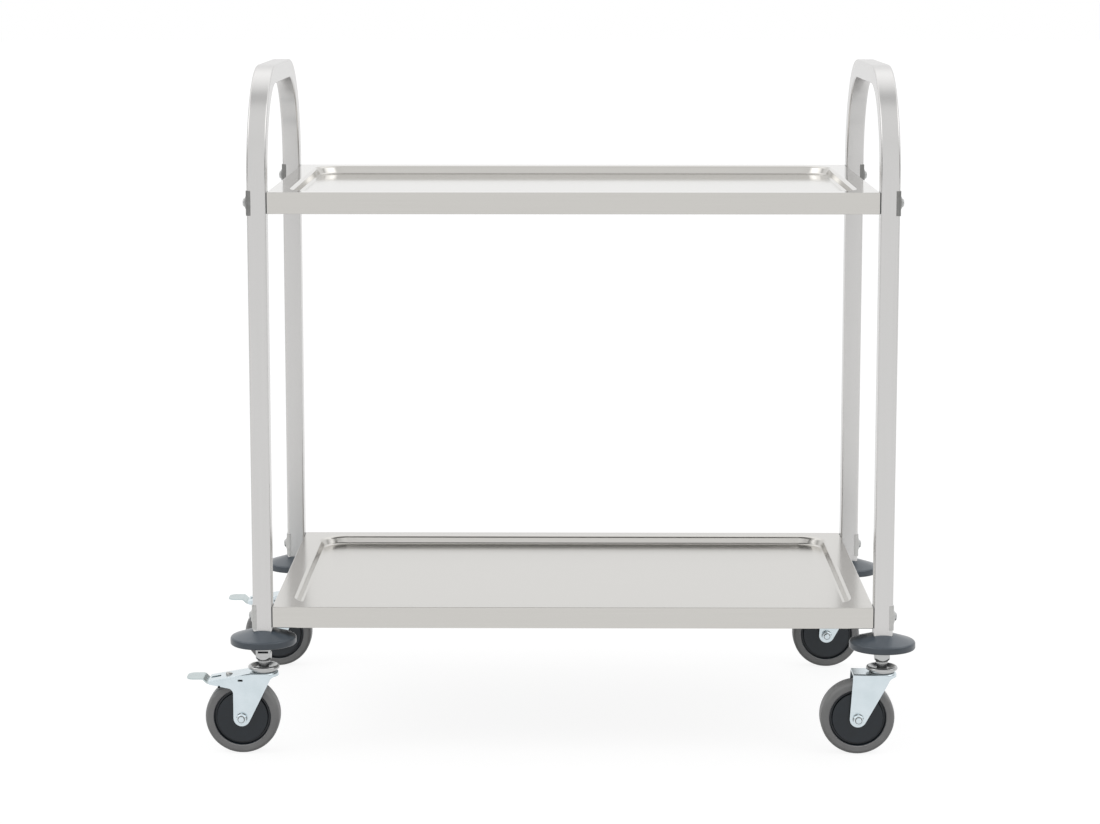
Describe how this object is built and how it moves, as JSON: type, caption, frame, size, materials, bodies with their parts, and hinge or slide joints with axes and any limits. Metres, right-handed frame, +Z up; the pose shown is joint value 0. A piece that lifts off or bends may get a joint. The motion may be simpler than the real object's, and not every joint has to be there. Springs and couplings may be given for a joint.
{
  "type": "kitchen cart",
  "caption": "Kitchen cart with pressed tray shelves between bent square-tube side frames that form push handles, on swivel casters with corner bumpers and tread brakes.",
  "frame": {"origin": "on the floor, midway between the four legs", "axes": "+X from the braked casters' end to the plain casters' end, +Y from the front to the back, +Z up"},
  "size_m": [0.9595, 0.5498, 0.9],
  "materials": {
    "stainless_steel": "satin",
    "zinc_plated_steel": "bright",
    "bumper_rubber": "matt",
    "grey_rubber": "matt",
    "polypropylene": "satin"
  },
  "bodies": {
    "cart": {"left_side_frame": "stainless_steel", "right_side_frame": "stainless_steel", "upper_shelf": "stainless_steel", "lower_shelf": "stainless_steel", "saddle_washers": "stainless_steel", "shelf_bolts": "stainless_steel", "shelf_nuts": "stainless_steel", "corner_bumpers": "bumper_rubber", "caster_stems": "zinc_plated_steel"},
    "front_left_brake": {"front_left_brake_lever": "zinc_plated_steel"},
    "front_left_caster": {"front_left_fork": "zinc_plated_steel", "front_left_axle_bolt": "zinc_plated_steel", "front_left_axle_nut": "zinc_plated_steel", "front_left_brake_spring": "zinc_plated_steel"},
    "front_left_wheel": {"front_left_hub": "polypropylene", "front_left_tyre": "grey_rubber"},
    "rear_left_brake": {"rear_left_brake_lever": "zinc_plated_steel"},
    "rear_left_caster": {"rear_left_fork": "zinc_plated_steel", "rear_left_axle_bolt": "zinc_plated_steel", "rear_left_axle_nut": "zinc_plated_steel", "rear_left_brake_spring": "zinc_plated_steel"},
    "rear_left_wheel": {"rear_left_hub": "polypropylene", "rear_left_tyre": "grey_rubber"},
    "front_right_caster": {"front_right_fork": "zinc_plated_steel", "front_right_axle_bolt": "zinc_plated_steel", "front_right_axle_nut": "zinc_plated_steel"},
    "front_right_wheel": {"front_right_hub": "polypropylene", "front_right_tyre": "grey_rubber"},
    "rear_right_caster": {"rear_right_fork": "zinc_plated_steel", "rear_right_axle_bolt": "zinc_plated_steel", "rear_right_axle_nut": "zinc_plated_steel"},
    "rear_right_wheel": {"rear_right_hub": "polypropylene", "rear_right_tyre": "grey_rubber"}
  },
  "joints": [
    {"name": "front_left_swivel", "type": "hinge", "parent": "cart", "child": "front_left_caster", "pos_m": [-0.4075, -0.2315, 0.109], "axis": [0, 0, 1], "continuous": true},
    {"name": "front_left_spin", "type": "hinge", "parent": "front_left_caster", "child": "front_left_wheel", "pos_m": [-0.4355, -0.2315, 0.049], "axis": [0, 1, 0], "continuous": true},
    {"name": "front_left_brake_press", "type": "hinge", "parent": "front_left_caster", "child": "front_left_brake", "pos_m": [-0.437, -0.2315, 0.09975], "axis": [0, -1, 0], "range_deg": [0, 5]},
    {"name": "rear_left_swivel", "type": "hinge", "parent": "cart", "child": "rear_left_caster", "pos_m": [-0.4075, 0.2315, 0.109], "axis": [0, 0, 1], "continuous": true},
    {"name": "rear_left_spin", "type": "hinge", "parent": "rear_left_caster", "child": "rear_left_wheel", "pos_m": [-0.4355, 0.2315, 0.049], "axis": [0, 1, 0], "continuous": true},
    {"name": "rear_left_brake_press", "type": "hinge", "parent": "rear_left_caster", "child": "rear_left_brake", "pos_m": [-0.437, 0.2315, 0.09975], "axis": [0, -1, 0], "range_deg": [0, 5]},
    {"name": "front_right_swivel", "type": "hinge", "parent": "cart", "child": "front_right_caster", "pos_m": [0.4075, -0.2315, 0.109], "axis": [0, 0, 1], "continuous": true},
    {"name": "front_right_spin", "type": "hinge", "parent": "front_right_caster", "child": "front_right_wheel", "pos_m": [0.3755, -0.2315, 0.049], "axis": [0, 1, 0], "continuous": true},
    {"name": "rear_right_swivel", "type": "hinge", "parent": "cart", "child": "rear_right_caster", "pos_m": [0.4075, 0.2315, 0.109], "axis": [0, 0, 1], "continuous": true},
    {"name": "rear_right_spin", "type": "hinge", "parent": "rear_right_caster", "child": "rear_right_wheel", "pos_m": [0.3755, 0.2315, 0.049], "axis": [0, 1, 0], "continuous": true}
  ]
}
